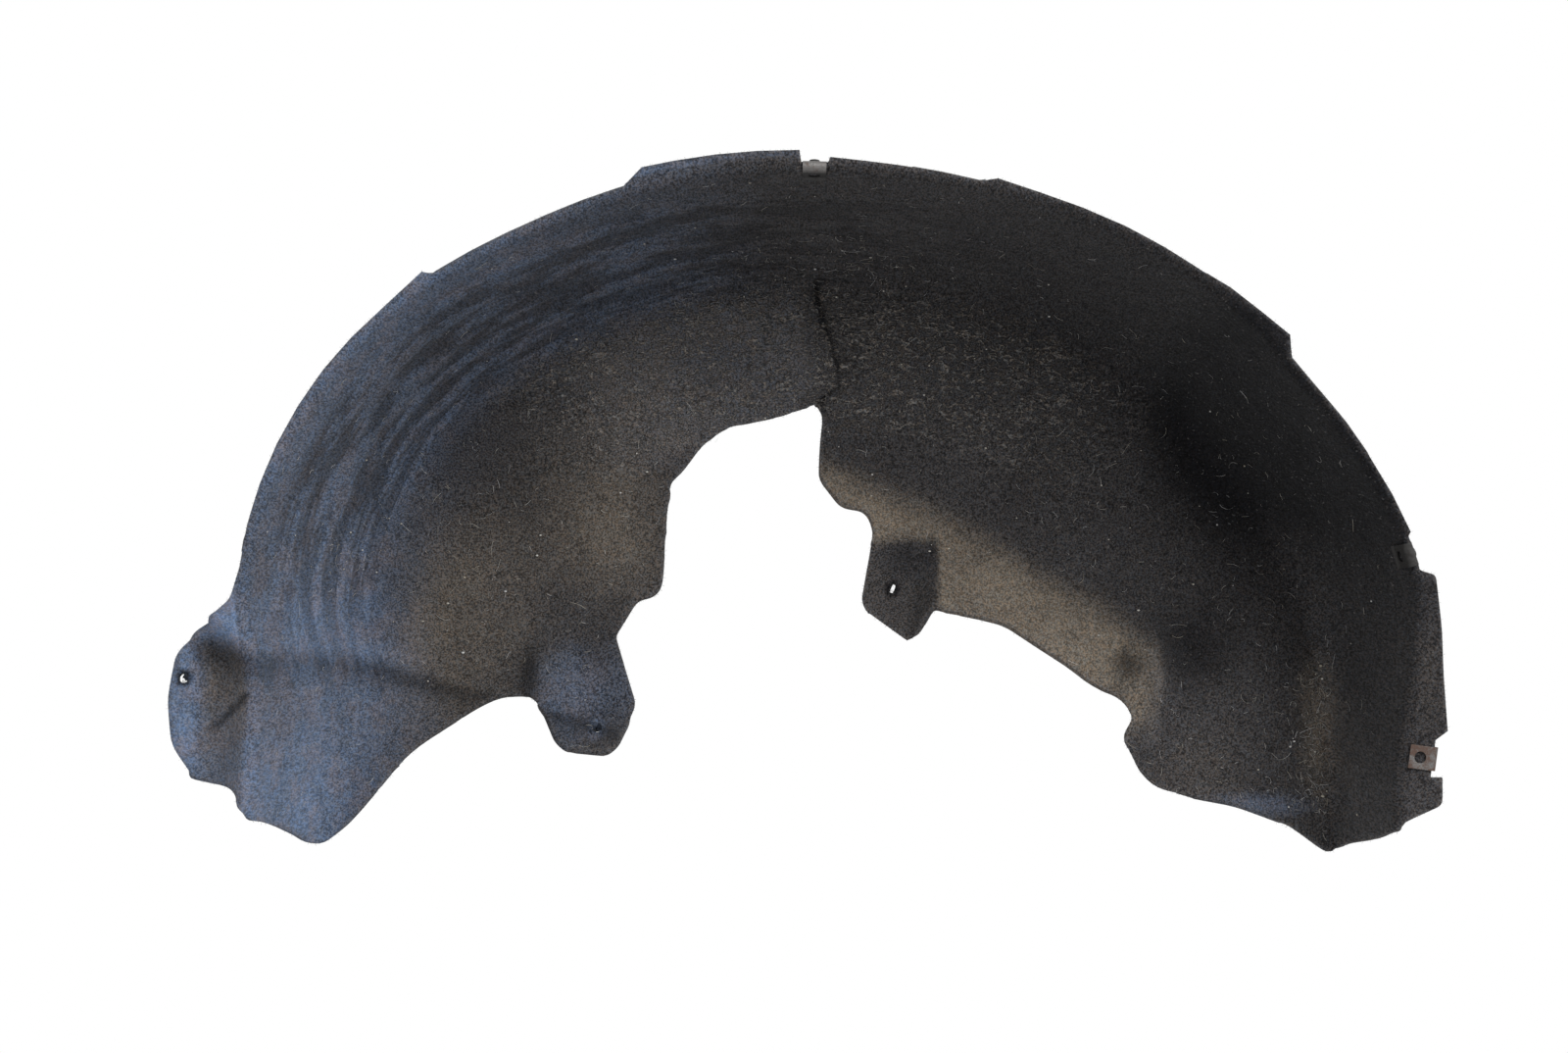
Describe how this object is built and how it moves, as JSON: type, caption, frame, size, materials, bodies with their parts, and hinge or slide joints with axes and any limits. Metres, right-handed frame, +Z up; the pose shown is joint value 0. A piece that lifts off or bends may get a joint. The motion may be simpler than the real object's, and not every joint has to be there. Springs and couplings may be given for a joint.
{
  "type": "wheel arch liner",
  "caption": "Rear wheel arch liner moulded in black felt, with a trimmed inner edge, a relief dart, an ear, two fixing tabs and spring nuts clipped on its lip.",
  "frame": {"origin": "middle of the threaded bore of the spring nut at the crown of the arch", "axes": "+X towards the rear end of the liner, +Y into the car away from the wheel's outer face, +Z up; the lip lies in the XZ plane"},
  "size_m": [0.8104, 0.1953, 0.4594],
  "materials": {
    "felt": "needle-punched polyester felt, near black, dusty",
    "spring_steel": "phosphated spring steel with surface rust"
  },
  "bodies": {
    "root": {"liner": "felt", "spring_nut_crown": "spring_steel", "spring_nut_rear_upper": "spring_steel", "spring_nut_rear_lower": "spring_steel"}
  },
  "joints": []
}
